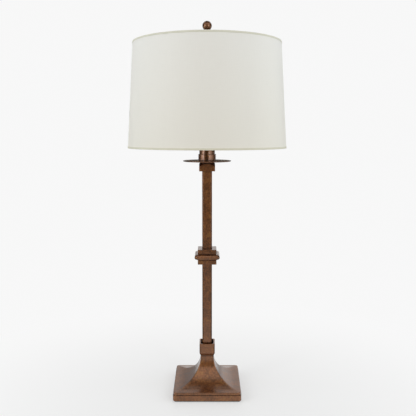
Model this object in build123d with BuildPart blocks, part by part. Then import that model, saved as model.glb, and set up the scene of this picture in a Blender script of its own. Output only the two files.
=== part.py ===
from build123d import *
import os
from math import acos, atan2, cos, degrees, hypot, radians, sin, sqrt

# Column table lamp with a tapered drum shade.
# Millimetres, +Z up, origin on the rest plane under the middle of the base, front towards -Y.

# Base
base_width = 156.0  # across the flats of the square plinth
base_corner_radius = 6.0
fascia_height = 13.5  # plain upright face of the plinth
fascia_round = 1.0
quirk_height = 1.5  # groove above the fascia
quirk_depth = 1.6  # set in from the lip
lip_height = 4.0
lip_setback = 1.2  # the lip stands back from the fascia
lip_round = 1.2
flare_ledge = 1.8  # flat margin between the lip's edge and the roof
flare_step = 0.8  # upright edge of the roof
neck_width = 31.0  # straight part on top of the hollow roof
neck_height = 4.5
casting_wall = 5.0
rim_thickness = 6.0  # metal above the ledge that the weight lies against
ledge_width = 13.0
felt_thickness = 2.0
felt_inset = 3.0
felt_corner_radius = 3.0

# Weight and its screws
weight_thickness = 11.0
weight_clearance = 0.4
weight_access = 60.0  # hole in the middle, for the locknut and the wires
screw_diameter = 4.0
screw_head_diameter = 8.0
screw_head_height = 2.0
screw_engagement = 3.6
screw_tip_room = 0.6
screw_clearance = 0.15

# Cord inlet
inlet_bore = 6.5
inlet_wall = 1.25
inlet_flange = 1.5
inlet_flange_thickness = 1.8
inlet_clearance = 0.1
inlet_edge = 0.6
cord_channel = 14.0

# Threaded pipe and its nuts
pipe_diameter = 10.0
pipe_bore = 7.0
pipe_clearance = 0.25
thread_clearance = 0.1
pipe_tail = 8.0  # pipe below the locknut
pipe_grip = 7.0  # pipe inside the socket cap
nut_wall = 2.5
nut_thickness = 4.5
washer_rim = 3.5
washer_thickness = 1.5

# Square column
column_width = 22.5
column_wall = 2.0
column_arris = 2.7  # taken-off corner
column_fit = 0.15
seat_depth = 3.0  # the ends of the tube stand this deep in their neighbours
lower_column_height = 192.0  # seen between the collar and the knop
upper_column_height = 179.5  # seen between the knop and the block

# Lower collar
collar_height = 28.5
collar_foot_height = 5.2
collar_foot_margin = 0.3  # the foot stands this far outside the neck
collar_gap = 3.4
collar_wall = 3.35
collar_recess = 9.0
collar_arris = 2.0

# Knop
tier_step = 10.2
tier_height = 11.0
tier_arris = 1.6
tier_reveal = 1.6  # set-in strip where a tier meets the band
tier_reveal_depth = 1.2
band_projection = 7.3
band_height = 12.4
band_arris = 4.0

# Block under the disc
block_shoulder = 6.75
block_height = 17.5
block_arris = 2.2
block_cone_margin = 0.6  # the cone starts this far inside the flats

# Disc and the turned parts on it
seat_height = 4.1
seat_spread = 3.2
bobeche_diameter = 109.0
bobeche_thickness = 2.0
bobeche_round = 0.8
sleeve_diameter = 35.2
sleeve_wall = 1.5
sleeve_height = 30.0
sleeve_round = 1.2
cup_height = 14.6
cup_wall = 1.8
cup_floor = 2.0
cup_fit = 0.4
cup_round = 1.2

# Socket
cap_neck_wall = 2.0
cap_neck_height = 6.0
cap_wall = 0.9
cap_seat = 2.6  # shoulder inside the skirt that the shell, the liner and the block stand on
cap_skirt = 9.0  # straight part that takes the shell
cap_fit = 0.15
shell_wall = 0.6
shell_bead = 0.8
shell_bead_height = 2.4
shell_rim = 2.0  # shell above the liner and the screw shell
liner_wall = 0.8
liner_fit = 0.15
liner_gap = 0.5
body_height = 19.0
body_fit = 0.2
screw_shell_wall = 0.6
screw_shell_height = 24.0
contact_foot = 5.0
contact_tongue = 6.0
contact_rise = 2.5
contact_width = 6.0
contact_thickness = 0.8

# Switch
key_height = 5.0  # above the rim of the cap
key_shaft_diameter = 4.0
key_shaft_clearance = 0.08
key_shaft_inset = 9.0  # how deep the shaft goes into the moulded block
key_shaft_room = 0.3
key_hole_clearance = 0.6
key_stand_off = 4.0  # shaft between the shell and the key
key_neck_diameter = 8.0
key_neck_length = 3.0
key_length = 14.0
key_width = 15.0
key_thickness = 5.0
key_round = 2.0

# Bulb
bulb_clearance = 0.3
bulb_tip_diameter = 10.0
bulb_tip_height = 2.2
bulb_screw_diameter = 26.0
bulb_screw_length = 24.0
bulb_screw_wall = 0.8
bulb_shoulder = 4.0
bulb_neck_fit = 0.15
bulb_neck_inset = 4.0
bulb_neck_length = 6.0  # glass between the screw and the swell
bulb_swell = 38.0  # from the neck up to the widest part
bulb_diameter = 60.0
bulb_glass = 1.0

# Harp and its saddle
saddle_reach = 32.0
saddle_width = 12.0
saddle_thickness = 1.6
saddle_pad = 24.0
saddle_rise = 12.0
saddle_bend = 4.0
harp_height = 216.0  # from the saddle to the seat of the shade
harp_half_width = 54.0
harp_wire = 3.6
harp_leg = 28.0
harp_spread = 40.0
harp_bend = 20.0
harp_shoulder = 44.0
ferrule_length = 14.0
ferrule_wall = 1.6
ferrule_clearance = 0.1
stud_diameter = 6.2
stud_seat_diameter = 15.0
stud_seat_cover = 3.0  # metal above and below the wire
stud_wire_fit = 0.05
stud_grip = 9.0  # stud inside the finial

# Shade
shade_bottom_diameter = 355.6
shade_top_diameter = 327.0
shade_height = 229.0
shade_thickness = 1.2
shade_recess = 6.0  # the washer lies this far below the top edge
trim_width = 3.6
trim_thickness = 0.5
ring_wire = 3.0
ring_fit = 0.2
arm_count = 3
arm_first_angle = 90.0
arm_wire = 3.2
arm_run = 20.0  # level run of an arm outside the washer
arm_bend = 12.0
arm_weld = 4.0  # wire that is cut back to the washer's rim
hub_diameter = 38.0
hub_thickness = 2.4
hub_clearance = 0.3

# Finial
finial_gap = 0.3  # between the washer and the foot, so that it turns
finial_foot_diameter = 18.0
finial_foot_height = 3.5
finial_neck_base = 12.0
finial_neck_top = 8.0
finial_neck_height = 28.7
finial_collar_diameter = 16.0
finial_collar_height = 2.6
finial_ball_diameter = 21.0
finial_ball_seat = 12.0  # circle on which the ball stands
finial_bore_clearance = 0.08
finial_bore_room = 1.0

# Widths that follow
base_half = base_width / 2
lip_half = base_half - lip_setback
quirk_half = lip_half - quirk_depth
flare_half = lip_half - flare_ledge
roof_arris = (2 - sqrt(2)) * (base_corner_radius - flare_ledge)  # hips' tips, behind the lip's corners
neck_half = neck_width / 2
flare_radius = flare_half - neck_half  # hollow curve of the four roof sides
pocket_half = base_half - casting_wall
ledge_half = pocket_half - ledge_width
weight_half = pocket_half - weight_clearance
screw_spacing = 2 * pocket_half - ledge_width
screw_hole = screw_diameter + 2 * screw_clearance
inlet_barrel = inlet_bore + 2 * inlet_wall
pipe_hole = pipe_diameter + 2 * pipe_clearance
nut_bore = pipe_diameter + 2 * thread_clearance
nut_flats = pipe_diameter + 2 * nut_wall
collar_recess_width = column_width + 2 * collar_gap
collar_width = collar_recess_width + 2 * collar_wall
tier_width = column_width + 2 * tier_step
band_width = tier_width + 2 * band_projection
block_width = column_width + 2 * block_shoulder
cup_bore = sleeve_diameter + 2 * cup_fit
cup_diameter = cup_bore + 2 * cup_wall
screw_shell_bore = bulb_screw_diameter + 2 * bulb_clearance
screw_shell_diameter = screw_shell_bore + 2 * screw_shell_wall
liner_bore = screw_shell_diameter + 2 * liner_gap
liner_diameter = liner_bore + 2 * liner_wall
body_diameter = liner_bore - 2 * body_fit
shell_bore = liner_diameter + 2 * liner_fit
shell_diameter = shell_bore + 2 * shell_wall
cap_bore = shell_diameter + 2 * cap_fit
cap_radius = cap_bore / 2 + cap_wall
cap_neck_radius = nut_bore / 2 + cap_neck_wall
cap_bowl = cap_radius - cap_neck_radius  # radius of the bowl between neck and skirt
ferrule_bore = harp_wire + 2 * ferrule_clearance
bulb_neck_radius = bulb_screw_diameter / 2 - bulb_screw_wall - bulb_neck_fit

# Levels, from the rest plane upwards
casting_z = felt_thickness
inlet_z = casting_z + fascia_height / 2
quirk_z = casting_z + fascia_height
lip_z = quirk_z + quirk_height
rim_z = lip_z + lip_height
ledge_z = rim_z - rim_thickness
weight_z = ledge_z - weight_thickness
roof_z = rim_z + flare_step + flare_radius
washer_z = roof_z - washer_thickness
locknut_z = washer_z - nut_thickness
pipe_z = locknut_z - pipe_tail
neck_z = roof_z + neck_height
collar_z = neck_z + collar_height
collar_floor_z = collar_z - collar_recess
lower_column_z = collar_floor_z - seat_depth
knop_z = collar_z + lower_column_height
band_z = knop_z + tier_height
upper_tier_z = band_z + band_height
knop_top_z = upper_tier_z + tier_height
block_z = knop_top_z + upper_column_height
block_top_z = block_z + block_height
bobeche_z = block_top_z + seat_height
cup_z = bobeche_z + bobeche_thickness
sleeve_z = cup_z + cup_floor
saddle_z = sleeve_z + sleeve_height
saddle_tip_z = saddle_z + saddle_rise
joint_z = saddle_tip_z + ferrule_length / 2
saddle_nut_z = saddle_z + saddle_thickness
cap_z = saddle_nut_z + nut_thickness
pipe_top_z = cap_z + pipe_grip
skirt_z = cap_z + cap_neck_height + cap_bowl
cap_top_z = skirt_z + cap_skirt
key_z = cap_top_z + key_height
body_top_z = skirt_z + body_height
liner_top_z = body_top_z + screw_shell_height
shell_top_z = liner_top_z + shell_rim
contact_top_z = body_top_z + contact_rise + contact_thickness
bulb_z = contact_top_z + bulb_clearance
bulb_screw_z = bulb_z + bulb_tip_height
bulb_rim_z = bulb_screw_z + bulb_screw_length
bulb_swell_z = bulb_rim_z + bulb_neck_length
bulb_middle_z = bulb_swell_z + bulb_swell
hub_z = saddle_nut_z + harp_height
harp_top_z = hub_z - stud_seat_cover - harp_wire / 2
hub_top_z = hub_z + hub_thickness
shade_top_z = hub_top_z + shade_recess
shade_z = shade_top_z - shade_height

os.makedirs("parts", exist_ok=True)


def save(piece, name):
    """Name a finished piece and write it."""
    piece.part.label = name
    export_step(piece.part, f"parts/{name}.step")


def arris_square(width, arris):
    """Square with taken-off corners, on the open sketch."""
    square = Rectangle(width, width)
    chamfer(square.vertices(), arris)


def column_seat(level):
    """Sink a pocket for the end of the column into the open part."""
    with BuildSketch(Plane.XY.offset(level)) as pocket:
        arris_square(column_width + 2 * column_fit, column_arris)
    extrude(pocket.sketch, amount=seat_depth, mode=Mode.SUBTRACT)


def pipe_passage(level, length):
    """Bore the open part for the pipe."""
    with BuildSketch(Plane.XY.offset(level)) as passage:
        Circle(pipe_hole / 2)
    extrude(passage.sketch, amount=length, mode=Mode.SUBTRACT)


def upright_plane(angle):
    """Plane through the column's axis, turned about it from the front view."""
    turn = radians(angle)
    return Plane((0, 0, 0), x_dir=(cos(turn), sin(turn), 0), z_dir=(sin(turn), -cos(turn), 0))


def square_roof(radius, edge_half, floor_z):
    """Four hollow sides that meet in mitred hips, curved round the centres of the outer roof."""
    inset = flare_half - edge_half
    sweep_angle = degrees(acos(inset / radius))
    edge_z = roof_z - sqrt(radius**2 - inset**2)
    top_half = flare_half - radius
    with BuildPart() as roof:
        for plane, mode in ((Plane.XZ, Mode.ADD), (Plane.YZ, Mode.INTERSECT)):
            with BuildSketch(plane):
                with BuildLine():
                    Polyline(
                        (-edge_half, edge_z),
                        (-edge_half, floor_z),
                        (edge_half, floor_z),
                        (edge_half, edge_z),
                    )
                    CenterArc((flare_half, roof_z), radius, 180, sweep_angle)
                    Line((top_half, roof_z), (-top_half, roof_z))
                    CenterArc((-flare_half, roof_z), radius, 0, -sweep_angle)
                make_face()
            extrude(amount=edge_half, both=True, mode=mode)
    return roof.part


# Base casting: plinth with a grooved rim and a hollow four-sided roof, open underneath
inner_roof = square_roof(flare_radius + casting_wall, ledge_half, ledge_z)
with BuildPart() as outer_roof:
    add(square_roof(flare_radius, flare_half, lip_z))
    with BuildSketch(Plane.XY.offset(lip_z)):
        arris_square(2 * flare_half, roof_arris)
    extrude(amount=roof_z - lip_z, mode=Mode.INTERSECT)
with BuildPart() as base_casting:
    with BuildSketch(Plane.XY.offset(casting_z)):
        RectangleRounded(base_width, base_width, base_corner_radius)
    extrude(amount=fascia_height)
    fillet(base_casting.edges().filter_by(Axis.Z, reverse=True), fascia_round)
    with BuildSketch(Plane.XY.offset(quirk_z)):
        RectangleRounded(2 * quirk_half, 2 * quirk_half, base_corner_radius)
    extrude(amount=quirk_height)
    with BuildSketch(Plane.XY.offset(lip_z)):
        RectangleRounded(2 * lip_half, 2 * lip_half, base_corner_radius)
    extrude(amount=lip_height)
    fillet(base_casting.faces().sort_by(Axis.Z)[-1].edges(), lip_round)
    add(outer_roof.part)
    with BuildSketch(Plane.XY.offset(roof_z)):
        Rectangle(2 * neck_half, 2 * neck_half)
    extrude(amount=neck_height)
    with BuildSketch(Plane.XY.offset(casting_z)):
        RectangleRounded(2 * pocket_half, 2 * pocket_half, base_corner_radius)
    extrude(amount=ledge_z - casting_z, mode=Mode.SUBTRACT)
    add(inner_roof, mode=Mode.SUBTRACT)
    pipe_passage(roof_z, neck_height)
    with BuildSketch(Plane.XY.offset(ledge_z)):
        with GridLocations(screw_spacing, screw_spacing, 2, 2):
            Circle(screw_hole / 2)
    extrude(amount=screw_engagement + screw_tip_room, mode=Mode.SUBTRACT)
    with BuildSketch(Plane.XZ.offset(-base_half)):
        with Locations((0, inlet_z)):
            Circle(inlet_barrel / 2 + inlet_clearance)
    extrude(amount=casting_wall, mode=Mode.SUBTRACT)
save(base_casting, "base_casting")

# Bushing in the back wall, where the cord goes in
with BuildPart() as cord_bushing:
    with BuildSketch(Plane.XZ.offset(-base_half)):
        with Locations((0, inlet_z)):
            Circle(inlet_barrel / 2)
    extrude(amount=casting_wall)
    with BuildSketch(Plane.XZ.offset(-base_half)):
        with Locations((0, inlet_z)):
            Circle(inlet_barrel / 2 + inlet_flange)
    extrude(amount=-inlet_flange_thickness)
    fillet(cord_bushing.faces().sort_by(Axis.Y)[-1].edges(), inlet_edge)
    with BuildSketch(Plane.XZ.offset(-base_half - inlet_flange_thickness)):
        with Locations((0, inlet_z)):
            Circle(inlet_bore / 2)
    extrude(amount=casting_wall + inlet_flange_thickness, mode=Mode.SUBTRACT)
save(cord_bushing, "cord_bushing")

# Iron weight against the ledge, with a way through for the cord
with BuildPart() as base_weight:
    with BuildSketch(Plane.XY.offset(weight_z)):
        RectangleRounded(2 * weight_half, 2 * weight_half, base_corner_radius)
        Circle(weight_access / 2, mode=Mode.SUBTRACT)
        with Locations((0, weight_half)):
            Rectangle(cord_channel, weight_half, align=(Align.CENTER, Align.MAX), mode=Mode.SUBTRACT)
    extrude(amount=weight_thickness)
    with BuildSketch(Plane.XY.offset(weight_z)):
        with GridLocations(screw_spacing, screw_spacing, 2, 2):
            Circle(screw_hole / 2)
    extrude(amount=weight_thickness, mode=Mode.SUBTRACT)
    with Locations((0, 0, weight_z)):
        with GridLocations(screw_spacing, screw_spacing, 2, 2):
            Cone(
                screw_head_diameter / 2 + screw_clearance,
                screw_hole / 2,
                screw_head_height,
                align=(Align.CENTER, Align.CENTER, Align.MIN),
                mode=Mode.SUBTRACT,
            )
save(base_weight, "base_weight")

# Four countersunk screws through the weight into the ledge
with BuildPart() as base_screws:
    with BuildSketch(Plane.XY.offset(weight_z)):
        with GridLocations(screw_spacing, screw_spacing, 2, 2):
            Circle(screw_diameter / 2)
    extrude(amount=weight_thickness + screw_engagement)
    with Locations((0, 0, weight_z)):
        with GridLocations(screw_spacing, screw_spacing, 2, 2):
            Cone(
                screw_head_diameter / 2,
                screw_diameter / 2,
                screw_head_height,
                align=(Align.CENTER, Align.CENTER, Align.MIN),
            )
save(base_screws, "base_screws")

# Felt under the rim of the plinth
felt_width = base_width - 2 * felt_inset
with BuildPart() as base_felt:
    with BuildSketch():
        RectangleRounded(felt_width, felt_width, felt_corner_radius)
    extrude(amount=felt_thickness)
save(base_felt, "base_felt")

# Pipe that clamps the stack, with its washer and nuts
with BuildPart() as lamp_pipe:
    with BuildSketch(Plane.XY.offset(pipe_z)):
        Circle(pipe_diameter / 2)
        Circle(pipe_bore / 2, mode=Mode.SUBTRACT)
    extrude(amount=pipe_top_z - pipe_z)
save(lamp_pipe, "lamp_pipe")

with BuildPart() as base_washer:
    with BuildSketch(Plane.XY.offset(washer_z)):
        Circle(pipe_hole / 2 + washer_rim)
        Circle(pipe_hole / 2, mode=Mode.SUBTRACT)
    extrude(amount=washer_thickness)
save(base_washer, "base_washer")


def hex_nut(level):
    """Hexagon nut on the pipe."""
    with BuildPart() as nut:
        with BuildSketch(Plane.XY.offset(level)):
            RegularPolygon(nut_flats / 2, 6, major_radius=False)
            Circle(nut_bore / 2, mode=Mode.SUBTRACT)
        extrude(amount=nut_thickness)
    return nut


base_locknut = hex_nut(locknut_z)
save(base_locknut, "base_locknut")
saddle_nut = hex_nut(saddle_nut_z)
save(saddle_nut, "saddle_nut")

# Square cup on the neck: undercut foot, recess round the column
collar_foot_z = neck_z + collar_foot_height
with BuildPart() as lower_collar:
    with BuildSketch(Plane.XY.offset(neck_z)):
        arris_square(2 * (neck_half + collar_foot_margin), collar_arris)
    with BuildSketch(Plane.XY.offset(collar_foot_z)):
        arris_square(collar_width, collar_arris)
    loft()
    with BuildSketch(Plane.XY.offset(collar_foot_z)):
        arris_square(collar_width, collar_arris)
    extrude(amount=collar_height - collar_foot_height)
    with BuildSketch(Plane.XY.offset(collar_floor_z)):
        Rectangle(collar_recess_width, collar_recess_width)
    extrude(amount=collar_recess, mode=Mode.SUBTRACT)
    column_seat(lower_column_z)
    pipe_passage(neck_z, collar_height)
save(lower_collar, "lower_collar")


def square_tube(level, length):
    """Length of the column."""
    bore = column_width - 2 * column_wall
    with BuildPart() as tube:
        with BuildSketch(Plane.XY.offset(level)):
            arris_square(column_width, column_arris)
            Rectangle(bore, bore, mode=Mode.SUBTRACT)
        extrude(amount=length)
    return tube


lower_column = square_tube(lower_column_z, knop_z + seat_depth - lower_column_z)
save(lower_column, "lower_column")
upper_column = square_tube(knop_top_z - seat_depth, upper_column_height + 2 * seat_depth)
save(upper_column, "upper_column")


def knop_tier(level, reveal_z, pocket_z):
    """Square tier with a set-in strip at the band and a pocket for the column."""
    reveal_width = tier_width - 2 * tier_reveal_depth
    with BuildPart() as tier:
        with BuildSketch(Plane.XY.offset(level)):
            arris_square(tier_width, tier_arris)
        extrude(amount=tier_height)
        with BuildSketch(Plane.XY.offset(reveal_z)):
            Rectangle(band_width, band_width)
            Rectangle(reveal_width, reveal_width, mode=Mode.SUBTRACT)
        extrude(amount=tier_reveal, mode=Mode.SUBTRACT)
        column_seat(pocket_z)
        pipe_passage(level, tier_height)
    return tier


knop_lower_tier = knop_tier(knop_z, band_z - tier_reveal, knop_z)
save(knop_lower_tier, "knop_lower_tier")
knop_upper_tier = knop_tier(upper_tier_z, upper_tier_z, knop_top_z - seat_depth)
save(knop_upper_tier, "knop_upper_tier")

# Wide band of the knop: one half-round edge carried round the sides and the taken-off corners
band_across_corners = sqrt(2) * (band_width - band_arris)
with BuildPart() as knop_band:
    for angle in (0, 45, 90, 135):
        with BuildSketch(upright_plane(angle)):
            with Locations((0, band_z + band_height / 2)):
                SlotOverall(band_across_corners if angle % 90 else band_width, band_height)
        extrude(amount=band_width, both=True, mode=Mode.INTERSECT if angle else Mode.ADD)
    pipe_passage(band_z, band_height)
save(knop_band, "knop_band")

# Block under the disc: square, with its top turned to a cone
cone_radius = block_width / 2 - block_cone_margin
cone_foot_radius = cone_radius + block_height
with BuildPart() as upper_collar:
    with BuildSketch(Plane.XY.offset(block_z)):
        arris_square(block_width, block_arris)
    extrude(amount=block_height)
    with Locations((0, 0, block_z)):
        Cone(
            cone_foot_radius,
            cone_radius,
            block_height,
            align=(Align.CENTER, Align.CENTER, Align.MIN),
            mode=Mode.INTERSECT,
        )
    column_seat(block_z)
    pipe_passage(block_z, block_height)
save(upper_collar, "upper_collar")

# Turned cone that carries the disc
with BuildPart() as bobeche_seat:
    with Locations((0, 0, block_top_z)):
        Cone(
            cup_diameter / 2 - seat_spread,
            cup_diameter / 2,
            seat_height,
            align=(Align.CENTER, Align.CENTER, Align.MIN),
        )
    pipe_passage(block_top_z, seat_height)
save(bobeche_seat, "bobeche_seat")

# Thin round disc
with BuildPart() as bobeche:
    with BuildSketch(Plane.XY.offset(bobeche_z)):
        Circle(bobeche_diameter / 2)
    extrude(amount=bobeche_thickness)
    fillet(bobeche.edges().filter_by(GeomType.CIRCLE), bobeche_round)
    pipe_passage(bobeche_z, bobeche_thickness)
save(bobeche, "bobeche")

# Cup on the disc
with BuildPart() as socket_cup:
    with BuildSketch(Plane.XY.offset(cup_z)):
        Circle(cup_diameter / 2)
    extrude(amount=cup_height)
    fillet(socket_cup.edges().group_by(Axis.Z)[0], cup_round)
    with BuildSketch(Plane.XY.offset(sleeve_z)):
        Circle(cup_bore / 2)
    extrude(amount=cup_height - cup_floor, mode=Mode.SUBTRACT)
    pipe_passage(cup_z, cup_floor)
save(socket_cup, "socket_cup")

# Sleeve that rises from the cup, closed on top
with BuildPart() as socket_sleeve:
    with BuildSketch(Plane.XY.offset(sleeve_z)):
        Circle(sleeve_diameter / 2)
    extrude(amount=sleeve_height)
    fillet(socket_sleeve.edges().group_by(Axis.Z)[-1], sleeve_round)
    with BuildSketch(Plane.XY.offset(sleeve_z)):
        Circle(sleeve_diameter / 2 - sleeve_wall)
    extrude(amount=sleeve_height - sleeve_wall, mode=Mode.SUBTRACT)
    pipe_passage(sleeve_z, sleeve_height)
save(socket_sleeve, "socket_sleeve")

# Strap under the socket, bent up at both ends, with a round tip for each leg of the harp
strap_z = saddle_z + saddle_thickness / 2
with BuildPart() as harp_saddle:
    with BuildSketch(Plane.XZ):
        with BuildLine():
            FilletPolyline(
                (-saddle_reach, saddle_tip_z),
                (-saddle_reach, strap_z),
                (saddle_reach, strap_z),
                (saddle_reach, saddle_tip_z),
                radius=saddle_bend,
            )
        trace(line_width=saddle_thickness)
    extrude(amount=saddle_width / 2, both=True)
    with BuildSketch(Plane.XY.offset(saddle_z)):
        Circle(saddle_pad / 2)
    extrude(amount=saddle_thickness)
    with BuildSketch(Plane.XY.offset(saddle_tip_z)):
        with Locations((-saddle_reach, 0), (saddle_reach, 0)):
            Circle(harp_wire / 2)
    extrude(amount=joint_z - saddle_tip_z)
    pipe_passage(saddle_z, saddle_thickness)
save(harp_saddle, "harp_saddle")

# Wire loop round the bulb
leg_top_z = joint_z + harp_leg
spread_z = leg_top_z + harp_spread
with BuildPart() as harp:
    with BuildLine(Plane.XZ):
        FilletPolyline(
            (-saddle_reach, joint_z),
            (-saddle_reach, leg_top_z),
            (-harp_half_width, spread_z),
            (-harp_half_width, harp_top_z),
            (harp_half_width, harp_top_z),
            (harp_half_width, spread_z),
            (saddle_reach, leg_top_z),
            (saddle_reach, joint_z),
            radius=[harp_bend, harp_bend, harp_shoulder, harp_shoulder, harp_bend, harp_bend],
        )
    with BuildSketch(Plane.XY.offset(joint_z)):
        with Locations((-saddle_reach, 0)):
            Circle(harp_wire / 2)
    sweep()
save(harp, "harp")

# Seat and stud on top of the harp
with BuildPart() as harp_stud:
    with BuildSketch(Plane.XY.offset(hub_z)):
        Circle(stud_seat_diameter / 2)
    extrude(amount=-(harp_wire + 2 * stud_seat_cover))
    with BuildSketch(Plane.XY.offset(hub_z)):
        Circle(stud_diameter / 2)
    extrude(amount=hub_thickness + stud_grip)
    with BuildSketch(Plane.YZ):
        with Locations((0, harp_top_z)):
            Circle(harp_wire / 2 + stud_wire_fit)
    extrude(amount=stud_seat_diameter, both=True, mode=Mode.SUBTRACT)
save(harp_stud, "harp_stud")


def ferrule(x):
    """Sleeve over the joint between the saddle and a leg of the harp."""
    with BuildPart() as tube:
        with BuildSketch(Plane.XY.offset(saddle_tip_z)):
            with Locations((x, 0)):
                Circle(ferrule_bore / 2 + ferrule_wall)
                Circle(ferrule_bore / 2, mode=Mode.SUBTRACT)
        extrude(amount=ferrule_length)
    return tube


harp_sleeve_left = ferrule(-saddle_reach)
save(harp_sleeve_left, "harp_sleeve_left")
harp_sleeve_right = ferrule(saddle_reach)
save(harp_sleeve_right, "harp_sleeve_right")

# Bell-shaped cap on the pipe, with a shoulder inside its skirt
cap_bowl_inside = cap_bowl - cap_wall - cap_seat
with BuildPart() as socket_cap:
    with BuildSketch(Plane.XZ):
        with BuildLine():
            Polyline((nut_bore / 2, cap_z), (cap_neck_radius, cap_z), (cap_neck_radius, skirt_z - cap_bowl))
            CenterArc((cap_neck_radius, skirt_z), cap_bowl, -90, 90)
            Polyline(
                (cap_radius, skirt_z),
                (cap_radius, cap_top_z),
                (cap_bore / 2, cap_top_z),
                (cap_bore / 2, skirt_z),
                (cap_neck_radius + cap_bowl_inside, skirt_z),
            )
            CenterArc((cap_neck_radius, skirt_z), cap_bowl_inside, 0, -90)
            Polyline(
                (cap_neck_radius, skirt_z - cap_bowl_inside),
                (nut_bore / 2, skirt_z - cap_bowl_inside),
                (nut_bore / 2, cap_z),
            )
        make_face()
    revolve(axis=Axis.Z)
save(socket_cap, "socket_cap")

key_shaft_radius = key_shaft_diameter / 2


def key_opening(radius):
    """Open the front wall of the open part for the switch shaft."""
    with BuildSketch(Plane.XZ) as opening:
        with Locations((0, key_z)):
            Circle(radius)
    extrude(opening.sketch, amount=cap_radius, mode=Mode.SUBTRACT)


# Metal shell of the socket, with a bead round its rim
bead_z = shell_top_z - shell_bead_height
with BuildPart() as socket_shell:
    with BuildSketch(Plane.XZ):
        with BuildLine():
            Polyline(
                (shell_diameter / 2, shell_top_z),
                (shell_bore / 2, shell_top_z),
                (shell_bore / 2, skirt_z),
                (shell_diameter / 2, skirt_z),
                (shell_diameter / 2, bead_z),
            )
            ThreePointArc(
                (shell_diameter / 2, bead_z),
                (shell_diameter / 2 + shell_bead, bead_z + shell_bead_height / 2),
                (shell_diameter / 2, shell_top_z),
            )
        make_face()
    revolve(axis=Axis.Z)
    key_opening(key_shaft_radius + key_hole_clearance)
save(socket_shell, "socket_shell")

# Insulating liner
with BuildPart() as socket_liner:
    with BuildSketch(Plane.XY.offset(skirt_z)):
        Circle(liner_diameter / 2)
        Circle(liner_bore / 2, mode=Mode.SUBTRACT)
    extrude(amount=liner_top_z - skirt_z)
    key_opening(key_shaft_radius + key_hole_clearance)
save(socket_liner, "socket_liner")

# Moulded block that holds the switch
shaft_end = body_diameter / 2 - key_shaft_inset
with BuildPart() as socket_body:
    with BuildSketch(Plane.XY.offset(skirt_z)):
        Circle(body_diameter / 2)
    extrude(amount=body_height)
    with BuildSketch(Plane.XZ.offset(shaft_end - key_shaft_room)):
        with Locations((0, key_z)):
            Circle(key_shaft_radius + key_shaft_clearance)
    extrude(amount=body_diameter, mode=Mode.SUBTRACT)
save(socket_body, "socket_body")

# Screw shell and spring contact
with BuildPart() as socket_screw_shell:
    with BuildSketch(Plane.XY.offset(body_top_z)):
        Circle(screw_shell_diameter / 2)
        Circle(screw_shell_bore / 2, mode=Mode.SUBTRACT)
    extrude(amount=screw_shell_height)
save(socket_screw_shell, "socket_screw_shell")

leaf_z = body_top_z + contact_thickness / 2
with BuildPart() as socket_contact:
    with BuildSketch(Plane.XZ):
        with BuildLine():
            Polyline(
                (-contact_tongue / 2 - contact_rise - contact_foot, leaf_z),
                (-contact_tongue / 2 - contact_rise, leaf_z),
                (-contact_tongue / 2, leaf_z + contact_rise),
                (contact_tongue / 2, leaf_z + contact_rise),
            )
        trace(line_width=contact_thickness)
    extrude(amount=contact_width / 2, both=True)
save(socket_contact, "socket_contact")

# Switch: shaft and turn key
key_face = shell_diameter / 2 + key_stand_off
with BuildPart() as switch_shaft:
    with BuildSketch(Plane.XZ.offset(shaft_end)):
        with Locations((0, key_z)):
            Circle(key_shaft_radius)
    extrude(amount=key_face - shaft_end)
save(switch_shaft, "switch_shaft")

with BuildPart() as switch_key:
    with BuildSketch(Plane.XZ.offset(key_face)):
        with Locations((0, key_z)):
            Circle(key_neck_diameter / 2)
    extrude(amount=key_neck_length)
    with BuildSketch(Plane.XZ.offset(key_face + key_neck_length)):
        with Locations((0, key_z)):
            RectangleRounded(key_width, key_thickness, key_round)
    extrude(amount=key_length)
save(switch_key, "switch_key")

# Bulb: contact tip, screw cap and glass
with BuildPart() as bulb_tip:
    with BuildSketch(Plane.XZ):
        with BuildLine():
            TangentArc((0, bulb_z), (bulb_tip_diameter / 2, bulb_screw_z), tangent=(1, 0))
            Polyline((bulb_tip_diameter / 2, bulb_screw_z), (0, bulb_screw_z), (0, bulb_z))
        make_face()
    revolve(axis=Axis.Z)
save(bulb_tip, "bulb_tip")

screw_radius = bulb_screw_diameter / 2
with BuildPart() as bulb_cap:
    with BuildSketch(Plane.XZ):
        with BuildLine():
            Polyline(
                (0, bulb_screw_z),
                (bulb_tip_diameter / 2, bulb_screw_z),
                (screw_radius, bulb_screw_z + bulb_shoulder),
                (screw_radius, bulb_rim_z),
                (screw_radius - bulb_screw_wall, bulb_rim_z),
                (screw_radius - bulb_screw_wall, bulb_screw_z + bulb_shoulder),
                (0, bulb_screw_z + bulb_shoulder),
                close=True,
            )
        make_face()
    revolve(axis=Axis.Z)
save(bulb_cap, "bulb_cap")


def bulb_outline(inset):
    """Half outline of the glass on the open sketch: neck, cone and a round end it runs into."""
    neck = bulb_neck_radius - inset
    ball = bulb_diameter / 2 - inset
    foot_z = bulb_rim_z - bulb_neck_inset
    touch = atan2(-bulb_swell, neck) + acos(ball / hypot(neck, bulb_swell))
    with BuildLine() as outline:
        Polyline(
            (0, foot_z),
            (neck, foot_z),
            (neck, bulb_swell_z),
            (ball * cos(touch), bulb_middle_z + ball * sin(touch)),
        )
        CenterArc((0, bulb_middle_z), ball, degrees(touch), 90 - degrees(touch))
        Line((0, bulb_middle_z + ball), (0, foot_z))
    make_face(outline.edges())


with BuildPart() as bulb_globe:
    with BuildSketch(Plane.XZ):
        bulb_outline(0)
    revolve(axis=Axis.Z)
    with BuildSketch(Plane.XZ):
        bulb_outline(bulb_glass)
    revolve(axis=Axis.Z, mode=Mode.SUBTRACT)
save(bulb_globe, "bulb_globe")


def shade_radius(z):
    """Outside radius of the panel at a level."""
    rise = (z - shade_z) / shade_height
    return (shade_bottom_diameter + rise * (shade_top_diameter - shade_bottom_diameter)) / 2


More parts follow.
